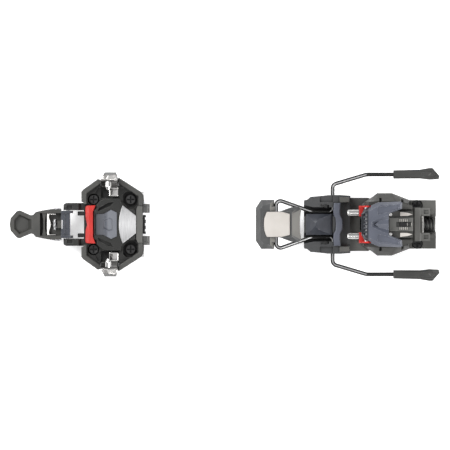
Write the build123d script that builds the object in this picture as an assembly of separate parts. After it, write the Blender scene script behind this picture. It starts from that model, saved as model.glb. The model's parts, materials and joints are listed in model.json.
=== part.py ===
from build123d import *
import math
import os

# Pin touring binding: a toe unit and a heel unit with a ski brake, as they sit on one ski.
# Millimetres. X runs from toe to heel, Y to the left, Z up from the ski.
# The origin is the centre of the toe unit's four screws, on its mounting face.

# ---------------------------------------------------------------- driving dimensions
RUN = 0.05                  # radial clearance of a turning or sliding fit
GAP = 0.4                   # free space between pieces that move past each other

SCREW_R = 2.75              # mounting screws, where they stand out below the plate
SCREW_NECK_R = 2.45
SCREW_DEPTH = 9.0           # length that goes into the ski
SCREW_HEAD_R = 5.25
SCREW_HEAD_H = 3.6

# toe unit
TOE_SCREW_X = 18.6
TOE_SCREW_Y = 25.0
TOE_PLATE = 5.0             # top of the base plate
TOE_FLOOR = 13.0            # top of the sunk ring around the deck
TOE_DECK = 17.5
TOE_RIM = 19.0
TOE_END = 30.8              # rear face of the base between the crampon lugs
SLOT_TOP = 12.2             # floor that the red slider runs over
POCKET_X0 = -11.2           # jaw pocket
POCKET_X1 = 7.0
POCKET_Y = 26.6
JAW_AXIS_Y = 40.0
JAW_AXIS_Z = 10.5
JAW_AXLE_R = 2.0
JAW_OPEN = 9.6              # degrees from clamped to open
TOE_PIN_X = -2.85
TOE_PIN_Z = 34.0            # above the ski with the jaws clamped
TOE_PIN_R = 3.1
TOE_PIN_TIP = 30.0          # half the distance between the clamped pin tips
TOE_PIN_ROOT = 38.2         # where the pin steps down to its shank
TOE_SHANK_R = 2.6
LEVER_AXIS_X = -43.8
LEVER_AXIS_Z = 12.5
LEVER_AXLE_R = 2.0
EAR_R = 4.9
EAR_IN = 14.2
EAR_OUT = 21.5
FORK_FRONT = -50.9
SLIDER_X1 = -17.4
SLIDER_Z1 = 12.6

# heel unit
HEEL_SCREW_X = 306.2
HEEL_SCREW_STEP = 44.0
HEEL_SCREW_Y = 19.3
HEEL_PLATE = 8.0
HEEL_FRONT = 238.6          # where the brake housing ends and the rail plate shows
HEEL_END = 325.1
HEEL_HALF = 24.4
TONGUE = 3.0                # thickness of the plate under the brake housing
RAIL_IN = 9.9
RAIL_NECK = 12.0
RAIL_OUT = 13.6
RAIL_NECK_Z = 10.6
RAIL_TOP = 12.6
WORM_Z = 9.2
WORM_R = 7.35
WORM_PITCH = 3.35
WORM_X0 = 259.0
WORM_X1 = 323.6
WORM_JOURNAL_R = 3.0

BRAKE_X = 221.0             # brake pivot
BRAKE_Z = 16.0
WIRE_R = 2.0
PEDAL_X = 164.4             # pedal pivot
PEDAL_Z = 20.0
PAD_Z = 25.9                # underside of the pedal's pad
ARM_Y = 50.0
HOUSING_TOP = 25.0
ISLAND_TOP = 20.0

PIN_Z = 42.0                # heel pins
PIN_Y = 11.6
PIN_R = 3.05
PIN_SHANK_R = 2.6
PIN_SPREAD = 2.8
PIN_X0 = 234.8
PIN_X1 = 246.0              # where the pin steps down to its shank
BLOCK_X0 = 246.3
BLOCK_X1 = 259.0
BLOCK_Y = 18.5
BLOCK_Z0 = 36.5
BLOCK_Z1 = 47.5
AID_X = 253.0               # climbing aid pivot
AID_Z = 54.5
AID_AXLE_R = 1.8
EAR_Y0 = 16.9               # ears that hold the aid's axle
EAR_Y1 = 18.5
AID_Z0 = 51.2
AID_Z1 = 61.0
AID_TOOTH_PITCH = 3.75
TOWER_Z = 50.4
TOWER_X0 = 271.5
TOWER_X1 = 299.5
WALK_X = 303.5              # walk lever pivot
WALK_Z = 21.0
WALK_AXLE_R = 1.6
RELEASE_R = 5.0             # release setting screw


# ---------------------------------------------------------------- helpers
def block(x0, x1, y0, y1, z0, z1):
    """A box between two corners."""
    centre = Pos((x0 + x1) / 2, (y0 + y1) / 2, (z0 + z1) / 2)
    return centre * Box(x1 - x0, y1 - y0, z1 - z0)


def both(half):
    """A whole outline from its half with y at or above zero."""
    return half + [(x, -y) for x, y in reversed(half) if y > 0]


def outline_face(points, z=0.0):
    return make_face(Polyline(*[(x, y, z) for x, y in points], close=True))


def prism(points, z0, z1):
    """A plan outline raised from z0 to z1."""
    return extrude(outline_face(points, z0), amount=z1 - z0, dir=(0, 0, 1))


def side_prism(points, y0, y1):
    """A side view outline, in x and z, run across from y0 to y1."""
    face = make_face(Polyline(*[(x, y0, z) for x, z in points], close=True))
    return extrude(face, amount=y1 - y0, dir=(0, 1, 0))


def end_prism(points, x0, x1):
    """An end view outline, in y and z, run along from x0 to x1."""
    face = make_face(Polyline(*[(x0, y, z) for y, z in points], close=True))
    return extrude(face, amount=x1 - x0, dir=(1, 0, 0))


def frustum(low, high, z0, z1):
    """Flat facets between two plan outlines with the same number of corners."""
    return loft([outline_face(low, z0), outline_face(high, z1)], ruled=True)


def rod_x(x0, x1, y, z, r):
    return Pos((x0 + x1) / 2, y, z) * Rot(0, 90, 0) * Cylinder(r, x1 - x0)


def rod_y(y0, y1, x, z, r):
    return Pos(x, (y0 + y1) / 2, z) * Rot(90, 0, 0) * Cylinder(r, y1 - y0)


def rod_z(z0, z1, x, y, r):
    return Pos(x, y, (z0 + z1) / 2) * Cylinder(r, z1 - z0)


def other_side(shape):
    return mirror(shape, about=Plane.XZ)


def pair(shape):
    """The shape and its mirror image across the ski's centre line."""
    return shape + other_side(shape)


def two_solids(shape):
    """A left and a right solid kept apart, as one group."""
    return Compound(children=[shape, other_side(shape)])


def top_chamfer(shape, size):
    """Break the edges of the highest flat face."""
    return chamfer(shape.faces().sort_by(Axis.Z)[-1].edges(), size)


def coil(radius, wire, pitch, turns):
    """A spring that stands on z = 0."""
    path = Helix(pitch, pitch * turns, radius)
    section = Plane(origin=path @ 0, z_dir=path % 0) * Circle(wire)
    return sweep(section, path=path)


def mounting_screw(x, y, seat):
    """A cross recess screw whose head sits at the height seat."""
    head = rod_z(seat, seat + SCREW_HEAD_H, x, y, SCREW_HEAD_R)
    head = top_chamfer(head, 0.8)
    arm = 3.65
    half = 0.75
    cross_z = seat + SCREW_HEAD_H - 2.0
    head -= block(x - arm, x + arm, y - half, y + half, cross_z, seat + 5)
    head -= block(x - half, x + half, y - arm, y + arm, cross_z, seat + 5)
    neck = rod_z(-1, seat, x, y, SCREW_NECK_R)
    shank = rod_z(-SCREW_DEPTH + 3, 0, x, y, SCREW_R)
    tip = Pos(x, y, -SCREW_DEPTH + 1.5) * Cone(1.0, SCREW_R, 3.0)
    return head + neck + shank + tip


# ---------------------------------------------------------------- toe unit, fixed pieces
TOE_OUTLINE = [
    (-28.4, 0), (-28.4, 22.0), (-30.5, 22.7), (-30.5, 32.6), (-28.7, 34.9),
    (-14.0, 45.4), (-11.2, 44.6), (7.2, 46.7), (29.2, 32.6), (31.2, 29.2),
    (31.9, 25.0), (31.9, 20.9), (TOE_END, 20.7), (TOE_END, 0)]
RIM_INNER = [
    (-25.2, 0), (-25.2, 30.9), (-10.9, 41.1), (6.0, 41.6), (26.6, 28.0), (26.6, 0)]
DECK = [
    (-17.9, 0), (-17.9, 14.2), (-15.2, 16.4), (-15.2, 21.0), (-8.5, 26.3), (8.6, 26.3),
    (10.2, 22.0), (15.5, 16.3), (22.3, 16.0), (24.1, 14.5), (24.1, 0)]
REAR_RECESS = [
    (10.9, 22.3), (10.9, 30.0), (14.0, 33.0), (20.0, 33.0), (25.6, 27.5), (25.6, 19.5),
    (22.2, 16.6), (16.0, 16.9)]
GROOVE = [(-14.5, 12.8), (-9.0, 15.2), (-1.0, 18.4), (1.4, 22.6), (-3.5, 22.0), (-13.0, 16.6)]
TRIGGER = [(-16.4, 0), (-16.4, 10.35), (-8.4, 10.35), (-0.7, 14.5), (5.0, 11.9), (5.0, 0)]
TRIGGER_WELL = [
    (-16.9, 0), (-16.9, 10.8), (-8.5, 10.8), (-0.7, 15.0), (5.5, 12.2), (5.5, 0)]


def toe_screw_places():
    return [(x, y) for x in (-TOE_SCREW_X, TOE_SCREW_X) for y in (-TOE_SCREW_Y, TOE_SCREW_Y)]


def lever_ear():
    """One ear of the base that holds the lever's axle."""
    side = side_prism(
        [(-46.0, 0), (-28.4, 0), (-28.4, 12.0), (-30.8, 12.0), (-33.6, 17.4),
         (LEVER_AXIS_X, 17.4), (-47.6, 12.5)], EAR_IN, EAR_OUT)
    side += rod_y(EAR_IN, EAR_OUT, LEVER_AXIS_X, LEVER_AXIS_Z, EAR_R)
    plan = prism(
        [(-28.4, EAR_IN), (-49.0, EAR_IN), (-49.0, 18.6), (-47.8, 20.6), (-45.6, EAR_OUT),
         (-28.4, EAR_OUT)], 0, 20)
    ear = side & plan
    ear -= block(-45.4, -39.3, 15.4, 19.1, 15.2, 20)
    return ear - rod_y(EAR_IN - 1, 21.0, LEVER_AXIS_X, LEVER_AXIS_Z, LEVER_AXLE_R)


def jaw_lugs(grow=0.0):
    """The two lugs that hold one jaw's axle, or the room for them."""
    y0 = JAW_AXIS_Y - 3.4 - grow
    y1 = JAW_AXIS_Y + 3.4 + grow
    top = JAW_AXIS_Z + 4.1 + grow
    front = block(-16.2 - grow, POCKET_X0 - 0.2 + grow, y0, y1, TOE_PLATE, top)
    rear = block(POCKET_X1 + 0.2 - grow, 12.0 + grow, y0, y1, TOE_PLATE, top)
    return front + rear


def toe_base():
    plate = prism(both(TOE_OUTLINE), 0, TOE_PLATE)
    lugs = jaw_lugs() - rod_x(-15.8, 11.6, JAW_AXIS_Y, JAW_AXIS_Z, JAW_AXLE_R)
    base = plate + pair(lever_ear()) + pair(lugs)
    for x, y in toe_screw_places():
        base -= rod_z(-1, TOE_PLATE + 1, x, y, SCREW_R + 0.1)
    return base


def cover_rim():
    """The raised band around the housing."""
    band = prism(both(TOE_OUTLINE), TOE_FLOOR, TOE_RIM)
    band -= prism(both(RIM_INNER), TOE_FLOOR, TOE_RIM)
    return top_chamfer(band, 0.9)


def cover_deck():
    """The middle of the housing that the boot's toe stands over."""
    deck = top_chamfer(prism(both(DECK), TOE_FLOOR, TOE_DECK), 0.8)
    return deck - pair(prism(GROOVE, TOE_FLOOR + 0.6, TOE_DECK + 1))


def toe_cover():
    high = 30
    cover = prism(both(TOE_OUTLINE), TOE_PLATE, TOE_FLOOR) + cover_rim() + cover_deck()
    for x, y in toe_screw_places()[:2]:
        cover -= rod_z(TOE_PLATE, high, x, y, 6.0)
    cover -= pair(prism(REAR_RECESS, TOE_PLATE, high))
    cover -= pair(block(POCKET_X0, POCKET_X1, POCKET_Y, 60, TOE_PLATE, high))
    cover -= pair(prism([(-18.7, 28.5), (-11, 27.2), (-11, 38.4), (-14.6, 36.2)], 9, high))
    cover -= prism(both(TRIGGER_WELL), TOE_PLATE, high)
    slider_room = [(-32, 0), (-32, 20.3), (-15.6, 20.3), (-15.6, 16.6), (-18.2, 13.6), (-18.2, 0)]
    cover -= prism(both(slider_room), SLOT_TOP, high)
    cover -= block(-32, SLIDER_X1 + 0.5, -13.7, 13.7, TOE_PLATE, SLOT_TOP + 1)
    cover -= pair(block(-2.6, 6.2, 16.3, POCKET_Y + 1, TOE_PLATE, TOE_FLOOR - 0.3))
    cover -= pair(jaw_lugs(0.2))
    cover -= block(24.2, 33, -19.0, 19.0, TOE_FLOOR, high)
    cover -= pair(block(-32, -28.4, EAR_IN - 0.1, EAR_OUT + 0.3, TOE_PLATE, high))
    return cover


def toe_screws():
    screws = [mounting_screw(x, y, TOE_PLATE) for x, y in toe_screw_places()]
    return Compound(children=screws)


def badge_plate():
    """The brushed metal plate behind the trigger."""
    arc = ThreePointArc((10.9, 19.3), (7.05, 0), (10.9, -19.3))
    lines = Polyline((10.9, -19.3), (24.1, -8.9), (24.1, 8.9), (10.9, 19.3))
    plate = extrude(Pos(0, 0, TOE_DECK) * make_face([arc, lines]), amount=1.2, dir=(0, 0, 1))
    return top_chamfer(plate, 0.3)


def rear_bridge():
    half = [(24.5, 0), (24.5, 14.8), (26.2, 18.7), (TOE_END, 18.7), (TOE_END, 0)]
    side = [(24, TOE_FLOOR), (32, TOE_FLOOR), (32, 15.0), (30.0, 17.6), (24, 18.4)]
    return prism(both(half), TOE_FLOOR, 20) & side_prism(side, -20, 20)


def crampon_lugs():
    """Two hooks, open to the rear, that take the crampon's cross bar."""
    side = [
        (TOE_END, 0.6), (37.7, 0.6), (37.7, 4.6), (34.2, 5.0), (34.2, 9.2), (37.7, 9.6),
        (37.7, 12.6), (35.6, 14.6), (TOE_END, 14.6)]
    return two_solids(side_prism(side, 11.6, 20.6))


def crampon_stop():
    stop = block(TOE_END, 33.8, -9.5, 9.5, 0.6, 13.2)
    for y in (-6, 0, 6):
        stop -= block(33.0, 34.5, y - 1.2, y + 1.2, 0, 14)
    return stop


def jaw_axles():
    return two_solids(rod_x(-15.8, 11.6, JAW_AXIS_Y, JAW_AXIS_Z, JAW_AXLE_R))


def toe_spring():
    """The coil that bears on the left jaw's inner arm."""
    return Pos(1.8, 16.95, 8.9) * Rot(-90, 0, 0) * coil(2.85, 0.55, 2.2, 4.4)


# ---------------------------------------------------------------- toe unit, moving pieces
def opened(shape):
    """Turn a clamped left jaw piece outwards to where the jaw stands open."""
    axis = Axis((0, JAW_AXIS_Y, JAW_AXIS_Z), (1, 0, 0))
    return shape.rotate(axis, -JAW_OPEN)


def toe_jaw():
    """The left jaw: an upright, an arm that reaches inwards, and a bore for its axle."""
    upright = end_prism(
        [(36.6, 6.4), (44.6, 6.4), (46.0, 14.0), (44.5, 22.0), (48.6, 28.0), (48.6, 32.5),
         (44.5, 38.2), (40.4, 38.9), (38.5, 36.8), (38.5, 22.0), (37.6, 17.0), (36.6, 16.0)],
        -10.7, 6.4)
    plan = prism(
        [(-10.7, 30), (-10.7, 39.0), (-8.1, 44.0), (-6.5, 50), (4.6, 50), (6.4, 42.8), (6.4, 30)],
        0, 45)
    arm = block(-3.1, 6.4, 27.6, 38.5, 7.6, 12.2)
    jaw = (upright & plan) + arm
    jaw -= rod_x(-12, 8, JAW_AXIS_Y, JAW_AXIS_Z, JAW_AXLE_R + RUN)
    jaw -= rod_y(37, 45.5, TOE_PIN_X, TOE_PIN_Z, TOE_SHANK_R)
    return opened(jaw)


def toe_pin():
    """The left jaw's pin with its cone, and the shank that is pressed into the jaw."""
    shank = rod_y(TOE_PIN_ROOT, 45.5, TOE_PIN_X, TOE_PIN_Z, TOE_SHANK_R)
    pin = rod_y(TOE_PIN_TIP + 3.2, TOE_PIN_ROOT, TOE_PIN_X, TOE_PIN_Z, TOE_PIN_R)
    cone = Pos(TOE_PIN_X, TOE_PIN_TIP + 1.6, TOE_PIN_Z) * Rot(-90, 0, 0) * Cone(1.1, TOE_PIN_R, 3.2)
    return opened(shank + pin + cone)


def toe_trigger():
    """The pad that the boot's sole presses down to close the jaws."""
    side = [
        (-17, 8.9), (6, 8.9), (6, 17.6), (1.5, 18.6), (-7.5, 18.6), (-16.4, 15.8), (-17, 15.8)]
    pad = prism(both(TRIGGER), 8, 22) & side_prism(side, -16, 16)
    low = [(-9.0, 3.6), (-3.0, 7.2), (1.0, 5.8)]
    high = [(-7.4, 2.6), (-3.0, 5.4), (-0.4, 4.4)]
    return pad + frustum(both(low), both(high), 18.5, 19.9)


def red_slider():
    half = [
        (-24.8, 0), (-26.3, 6.0), (-26.7, 16.5), (-25.6, 18.8), (-16.2, 19.2), (-17.2, 16.8),
        (-18.8, 12.6), (-18.8, 0)]
    side = [
        (-28, SLIDER_Z1), (-15, SLIDER_Z1), (-15, 16.4), (-22.5, 18.8), (-27.2, 15.4), (-28, 15.0)]
    return prism(both(half), SLIDER_Z1, 22) & side_prism(side, -20, 20)


def toe_slider():
    """The slide under the red piece, with two fingers towards the lever's fork."""
    body = block(-26.6, SLIDER_X1 - GAP, -13.1, 13.1, TOE_PLATE + 0.5, SLIDER_Z1)
    return body + pair(block(-34.5, -26.6, 8.9, 13.1, 6.2, 12.2))


def lever_axle():
    return rod_y(-20.9, 20.9, LEVER_AXIS_X, LEVER_AXIS_Z, LEVER_AXLE_R)


def lever_fork():
    """Two rails on the axle with a cross bar between them."""
    rail = block(FORK_FRONT, LEVER_AXIS_X, 11.1, 13.8, 7.6, 17.4)
    rail += rod_y(11.1, 13.8, LEVER_AXIS_X, LEVER_AXIS_Z, EAR_R)
    bar = block(FORK_FRONT, -42.0, -11.2, 11.2, 8.8, 16.2)
    bar -= block(FORK_FRONT - 1, -49.4, -4.4, 4.4, 8, 20)
    bar -= block(-46.9, -46.3, -11.0, 11.0, 15.4, 20)
    fork = pair(rail) + bar
    return fork - rod_y(-20, 20, LEVER_AXIS_X, LEVER_AXIS_Z, LEVER_AXLE_R + RUN)


def side_plate():
    return prism(
        [(-74.0, 12.95), (-53.1, 16.7), (-51.2, 16.0), (-51.2, 14.8), (-53.2, 15.45),
         (-74.0, 11.7)], 8.2, 17.8)


def lever_body():
    """The hand lever with its paddle in front and the open tray behind."""
    half = [
        (-102.2, 0), (-101.4, 6.2), (-95.2, 13.2), (-92.4, 14.0), (-81.4, 9.1), (-78.6, 9.6),
        (-76.1, 12.5), (-69.7, 13.8), (-53.1, 16.7), (FORK_FRONT, 15.9), (FORK_FRONT, 0)]
    side = [
        (-103, 9.0), (-84.0, 7.2), (FORK_FRONT, 6.5), (FORK_FRONT, 17.2), (-70.0, 19.2),
        (-79.0, 18.4), (-84.0, 16.4), (-103, 17.4)]
    body = prism(both(half), 0, 25) & side_prism(side, -20, 20)
    dish_top = [(-98.6, 4.9), (-93.0, 10.8), (-85.0, 7.4), (-79.8, 4.8)]
    dish_low = [(-96.2, 3.6), (-91.8, 8.2), (-86.6, 5.8), (-84.2, 4.0)]
    body -= frustum(both(dish_low), both(dish_top), 12.4, 18.6)
    body -= block(-71.9, FORK_FRONT + 1, -11.4, 11.4, 9.5, 25)
    waist = [
        (-69.7, 11.5), (-68.5, 4.0), (-68.5, -4.0), (-69.7, -11.5), (-65.7, -11.5), (-66.9, -4.0),
        (-66.9, 4.0), (-65.7, 11.5)]
    body += prism(waist, 9.0, 17.6)
    body += block(-54.6, FORK_FRONT - 0.2, -3.7, 3.7, 9.0, 15.6)
    plate_room = [(-74.0, 11.7), (-53.2, 15.45), (-51.2, 14.8), (-51.2, 20), (-74.0, 20)]
    return body - pair(prism(plate_room, 8.2, 17.8))


def lever_side_plates():
    return two_solids(side_plate())


def lever_bracket():
    """The bright spring bracket in the lever's tray."""
    half = [
        (-65.2, 0), (-65.2, 11.2), (-56.2, 11.2), (-56.2, 9.9), (-62.4, 9.6), (-63.0, 7.6),
        (-60.4, 0)]
    side = [(-66, 9.5), (-55, 9.5), (-55, 11.6), (-60.4, 12.2), (-66, 16.2)]
    return prism(both(half), 9.5, 20) & side_prism(side, -12, 12)


def lever_spring():
    """The torsion coil behind the bracket."""
    return Pos(-57.3, -3.2, 12.6) * Rot(-90, 0, 0) * coil(1.9, 0.45, 1.15, 5.6)


def lever_spring_pin():
    return rod_y(-5.2, 5.2, -57.3, 12.6, 1.1)


# ---------------------------------------------------------------- heel unit, fixed pieces
def heel_screw_places():
    xs = (HEEL_SCREW_X - HEEL_SCREW_STEP, HEEL_SCREW_X)
    return [(x, y) for x in xs for y in (-HEEL_SCREW_Y, HEEL_SCREW_Y)]


def heel_base():
    """The rail plate that the heel carriage slides on, with a tongue under the brake."""
    half = [(HEEL_FRONT, 0), (HEEL_FRONT, 26.8), (257, 26.8), (262, HEEL_HALF),
            (HEEL_END, HEEL_HALF), (HEEL_END, 0)]
    base = prism(both(half), 0, HEEL_PLATE)
    base += block(204, HEEL_FRONT, -20, 20, 0, TONGUE)
    rail = [(RAIL_IN, HEEL_PLATE), (RAIL_NECK, HEEL_PLATE), (RAIL_NECK, RAIL_NECK_Z),
            (RAIL_OUT, RAIL_NECK_Z), (RAIL_OUT, RAIL_TOP), (RAIL_IN, RAIL_TOP)]
    base += pair(end_prism(rail, 243, 322))
    base -= block(258.6, HEEL_END + 1, -8.0, 8.0, 1.3, 30)
    base += block(254.0, 258.6, -9.0, 9.0, HEEL_PLATE, 14.6)
    base -= block(249.0, 254.0, -5.2, 5.2, 4.0, 30)
    base -= rod_x(253, 260, 0, WORM_Z, WORM_JOURNAL_R + RUN)
    for x, y in heel_screw_places():
        base -= rod_z(HEEL_PLATE - SCREW_HEAD_H, HEEL_PLATE + 1, x, y, SCREW_HEAD_R + 0.4)
        base -= rod_z(-1, HEEL_PLATE, x, y, SCREW_R + 0.1)
    return base


def heel_screws():
    seat = HEEL_PLATE - SCREW_HEAD_H
    return Compound(children=[mounting_screw(x, y, seat) for x, y in heel_screw_places()])


def worm_screw():
    """The length adjusting screw, with a ring for each turn of its thread."""
    root = WORM_R - 2.2
    points = [(0, WORM_X0), (root, WORM_X0)]
    for turn in range(int((WORM_X1 - WORM_X0) / WORM_PITCH)):
        start = WORM_X0 + turn * WORM_PITCH
        points += [(root, start + 0.6), (WORM_R, start + 1.4), (WORM_R, start + 2.2),
                   (root, start + 3.0)]
    points += [(root, WORM_X1), (0, WORM_X1)]
    profile = make_face(Polyline(*[(x, r, 0) for r, x in points], close=True))
    worm = Pos(0, 0, WORM_Z) * revolve(profile, axis=Axis.X)
    worm += rod_x(253.6, WORM_X0, 0, WORM_Z, WORM_JOURNAL_R)
    worm += rod_x(250.8, 253.7, 0, WORM_Z, 4.6)
    return worm - block(WORM_X1 - 2.5, WORM_X1 + 1, -4, 4, WORM_Z - 0.8, WORM_Z + 0.8)


HOUSING = [
    (192.6, 0), (192.6, 24.1), (195.9, 24.8), (199.0, 27.6), (209.7, 28.5), (216.0, 29.3),
    (228.0, 29.4), (HEEL_FRONT, 28.6), (HEEL_FRONT, 0)]


def brake_housing():
    """The body that the brake's wires turn in, with an open slot for each wire."""
    side = [
        (192, 2.0), (196, 0), (240, 0), (240, 22.6), (228, HOUSING_TOP), (208, HOUSING_TOP),
        (192, 19.0)]
    housing = prism(both(HOUSING), 0, 30) & side_prism(side, -30, 30)
    housing -= pair(block(207.8, 221.2, 22.2, 30, HOUSING_TOP - 2.4, 30))
    housing -= pair(block(190, 223.6, 8.4, 17.2, 11.0, 30))
    housing -= pair(prism([(190, 15), (202, 15), (202, 17.2), (190, 19.8)], 11.0, 30))
    housing -= pair(block(211.6, 217.4, 17.0, 19.4, 15.0, 30))
    housing -= block(190, 221.0, -8.5, 8.5, ISLAND_TOP, 30)
    housing -= block(229.0, 240, -21.8, 21.8, 16.5, 30)
    housing -= block(203.8, 240, -20.1, 20.1, -1, TONGUE)
    housing -= pair(rod_y(17, 31, BRAKE_X, BRAKE_Z, WIRE_R + RUN))
    housing -= pair(rod_y(18.0, 26.4, BRAKE_X, BRAKE_Z, 4.4))
    housing -= pair(block(234.6, 240, 22.8, 24.6, 14.0, 30))
    return housing


def housing_wedge():
    """The faceted ramp between the two wire slots."""
    low = [(194.4, -10.4), (220.6, -10.4), (220.6, 10.4), (194.4, 10.4)]
    high = [(203.6, -1.0), (206.8, -5.2), (206.8, 5.2), (203.6, 1.0)]
    return prism(low, ISLAND_TOP, ISLAND_TOP + 0.8) + frustum(
        low, high, ISLAND_TOP + 0.8, ISLAND_TOP + 5.2)


def pivot_cover():
    """The wavy bar that closes the housing over the brake's pivot."""
    half = [
        (224.0, 0), (223.6, 6.0), (221.6, 9.5), (221.3, 14.0), (222.0, 21.4), (228.6, 21.4),
        (227.9, 14.0), (228.0, 9.5), (230.4, 5.0), (230.8, 0)]
    bar = prism(both(half), HOUSING_TOP, HOUSING_TOP + 3.0)
    return top_chamfer(bar, 0.7)


def brake_spring():
    """The left torsion coil around the brake wire's pivot."""
    return Pos(BRAKE_X, 18.9, BRAKE_Z) * Rot(-90, 0, 0) * coil(3.2, 0.65, 1.5, 4.4)


# ---------------------------------------------------------------- ski brake, moving pieces
def wire_height(x):
    """Height of the stowed wire between the pedal and the pivot."""
    return BRAKE_Z + (PEDAL_Z - BRAKE_Z) * (BRAKE_X - x) / (BRAKE_X - PEDAL_X)


def brake_wire():
    """The left wire, from the pedal through its pivot to the grip."""
    route = [
        (PEDAL_X, 7.0, PEDAL_Z), (PEDAL_X, 25.3, PEDAL_Z), (199.0, 13.1, wire_height(199.0)),
        (BRAKE_X, 13.0, BRAKE_Z), (BRAKE_X, 39.9, BRAKE_Z), (254.9, ARM_Y, BRAKE_Z),
        (300.0, ARM_Y, BRAKE_Z)]
    path = FilletPolyline(*route, radius=[4.4, 12.0, 3.2, 5.0, 14.0])
    section = Plane(origin=path @ 0, z_dir=path % 0) * Circle(WIRE_R)
    return sweep(section, path=path)


def brake_grip():
    """The left grip that digs into the snow."""
    plan = [
        (281.9, 45.8), (281.9, 54.2), (308.0, 54.8), (317.6, 56.6), (321.0, 56.5), (328.1, 48.6),
        (327.2, 45.2), (318.0, 44.7), (309.0, 45.9)]
    side = [
        (281, 12.2), (281, 19.8), (305, 20.4), (320, 19.4), (329, 17.2), (329, 13.6), (318, 11.4),
        (300, 11.8)]
    end = [
        (44.0, 13.8), (46.8, 11.0), (53.0, 11.0), (57.0, 14.0), (57.0, 17.6), (52.4, 20.8),
        (48.0, 20.8), (44.0, 18.0)]
    grip = prism(plan, 0, 30) & side_prism(side, 40, 60) & end_prism(end, 280, 330)
    return grip - rod_x(280, 300.0, ARM_Y, BRAKE_Z, WIRE_R)


def brake_pedal():
    """The plate under the boot's heel, which turns on the ends of both wires."""
    bar_low = [
        (144.1, 0), (144.1, 16.5), (149.5, 24.6), (162.6, 24.6), (162.6, 18.9), (164.9, 18.6),
        (164.9, 0)]
    bar_high = [
        (148.4, 0), (148.4, 15.2), (151.4, 19.0), (158.4, 20.6), (158.8, 17.2), (162.0, 16.8),
        (162.0, 0)]
    bar = frustum(both(bar_low), both(bar_high), 19.0, 25.4)
    under = side_prism([(143, 19.0), (143, 16.6), (150, 13.0), (166, 12.6), (166, 19.0)], -26, 26)
    bar += prism(both(bar_low), 12, 19.0) & under
    bar -= side_prism([(158.0, 25.6), (167.0, 19.0), (167.0, 27.0), (158.0, 27.0)], -26, 26)
    core = block(150.5, 180.0, -13.0, 13.0, 14.0, PAD_Z)
    flare_low = [
        (168.0, 0), (168.0, 13.0), (179.8, 17.2), (187.0, 17.9), (189.6, 15.2), (188.4, 7.0),
        (188.2, 0)]
    flare_high = [
        (170.0, 0), (170.0, 12.6), (178.8, 12.4), (179.4, 11.4), (179.6, 10.2), (179.6, 6.0),
        (179.6, 0)]
    flare = prism(both(flare_low), 21.0, 22.0)
    flare += frustum(both(flare_low), both(flare_high), 22.0, PAD_Z)
    pedal = bar + core + flare
    pedal -= pair(rod_y(6.5, 27, PEDAL_X, PEDAL_Z, WIRE_R + RUN))
    return pedal


def pedal_pad():
    """The pale wear pad on the pedal."""
    half = [
        (152.1, 0), (152.5, 6.0), (154.7, 12.0), (155.6, 12.6), (170.0, 12.6), (178.1, 10.4),
        (178.1, 0)]
    return top_chamfer(prism(both(half), PAD_Z, PAD_Z + 2.5), 0.8)


# ---------------------------------------------------------------- heel carriage
def carriage_foot():
    """The skirt of the carriage over the rail."""
    low = [
        (249.8, 0), (249.8, 20.0), (261.0, 27.5), (265.9, 31.3), (280.3, 31.3), (284.3, 29.7),
        (297.8, 24.5), (300.0, 17.2), (308.8, 17.0), (308.8, 0)]
    foot = prism(both(low), HEEL_PLATE + 0.3, 15.8)
    low_top = [
        (249.8, 0), (249.8, 20.0), (261.0, 27.5), (265.9, 31.3), (280.3, 31.3), (297.8, 24.5),
        (299.0, 0)]
    high_top = [
        (252.0, 0), (252.0, 19.6), (259.0, 22.6), (266.0, 23.4), (284.0, 23.4), (296.0, 21.0),
        (299.0, 0)]
    return foot + frustum(both(low_top), both(high_top), 15.8, 27.0)


def carriage_tower():
    """Cheeks for the pin block in front, and the release housing behind."""
    tower = block(252.0, TOWER_X1, -19.6, 19.6, 26.0, BLOCK_Z0 - GAP)
    cheek = side_prism(
        [(252.0, 26.0), (252.0, 41.0), (256.0, 46.8), (TOWER_X0, 46.8), (TOWER_X0, 26.0)],
        BLOCK_Y + GAP, 22.4)
    tower += pair(cheek)
    rear_half = [(TOWER_X0, 0), (TOWER_X0, 22.4), (286, 22.4), (TOWER_X1, 18.0), (TOWER_X1, 0)]
    tower += prism(both(rear_half), 26.0, 42.0)
    tower += prism([(TOWER_X0, -13.4), (TOWER_X1, -12.6), (TOWER_X1, 12.6), (TOWER_X0, 13.4)],
                   42.0, 47.4)
    shoulder = [(TOWER_X0, -7.6), (TOWER_X1, -7.6), (TOWER_X1, 7.6), (TOWER_X0, 7.6)]
    return tower + prism(shoulder, 47.4, 48.2)


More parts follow.
